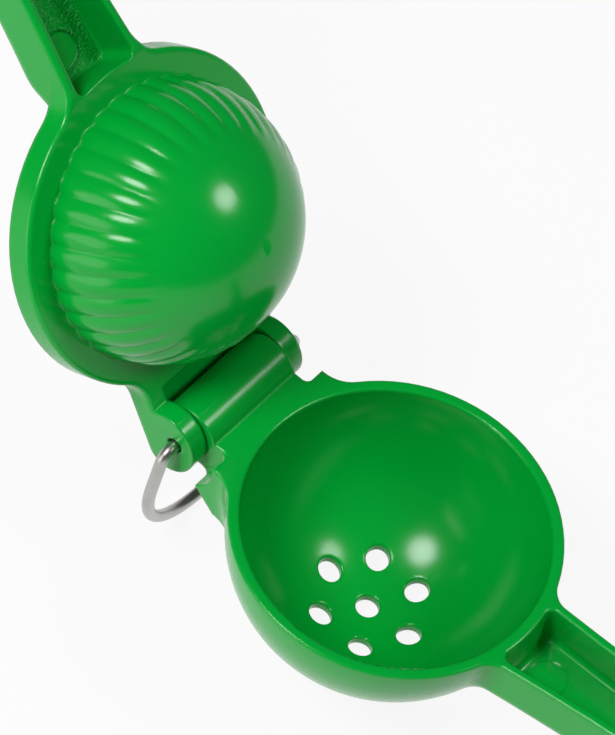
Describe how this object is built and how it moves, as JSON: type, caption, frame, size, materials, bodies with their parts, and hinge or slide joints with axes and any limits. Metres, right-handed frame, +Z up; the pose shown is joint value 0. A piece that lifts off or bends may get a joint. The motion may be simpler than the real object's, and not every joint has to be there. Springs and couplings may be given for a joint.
{
  "type": "citrus press juicer",
  "caption": "Hand-held hinged citrus press: a fluted dome on one long handle squeezes a halved fruit into a perforated bowl on the other, with a wire hanging ring at the hinge.",
  "frame": {"origin": "middle of the strainer arm's grip, half way up its handle", "axes": "+X along the strainer arm's handle away from the bowl, +Y along the hinge axis, +Z up out of the bowl, square to its rim"},
  "size_m": [0.3506, 0.0624, 0.1877],
  "materials": {
    "green_enamel": "glossy enamel over cast aluminium",
    "steel_wire": "satin drawn wire"
  },
  "bodies": {
    "strainer_arm": {"strainer_arm": "green_enamel"},
    "press_arm": {"press_arm": "green_enamel"},
    "hinge_ring": {"hinge_ring": "steel_wire"}
  },
  "joints": [
    {"name": "press_hinge", "type": "hinge", "parent": "strainer_arm", "child": "press_arm", "pos_m": [-0.1404, 0, -0.0078], "axis": [0, 1, 0], "range_deg": [0, 121.7]},
    {"name": "ring_swing", "type": "hinge", "parent": "strainer_arm", "child": "hinge_ring", "pos_m": [-0.1404, 0, -0.0078], "axis": [0, 1, 0], "range_deg": [-35, 105]}
  ]
}
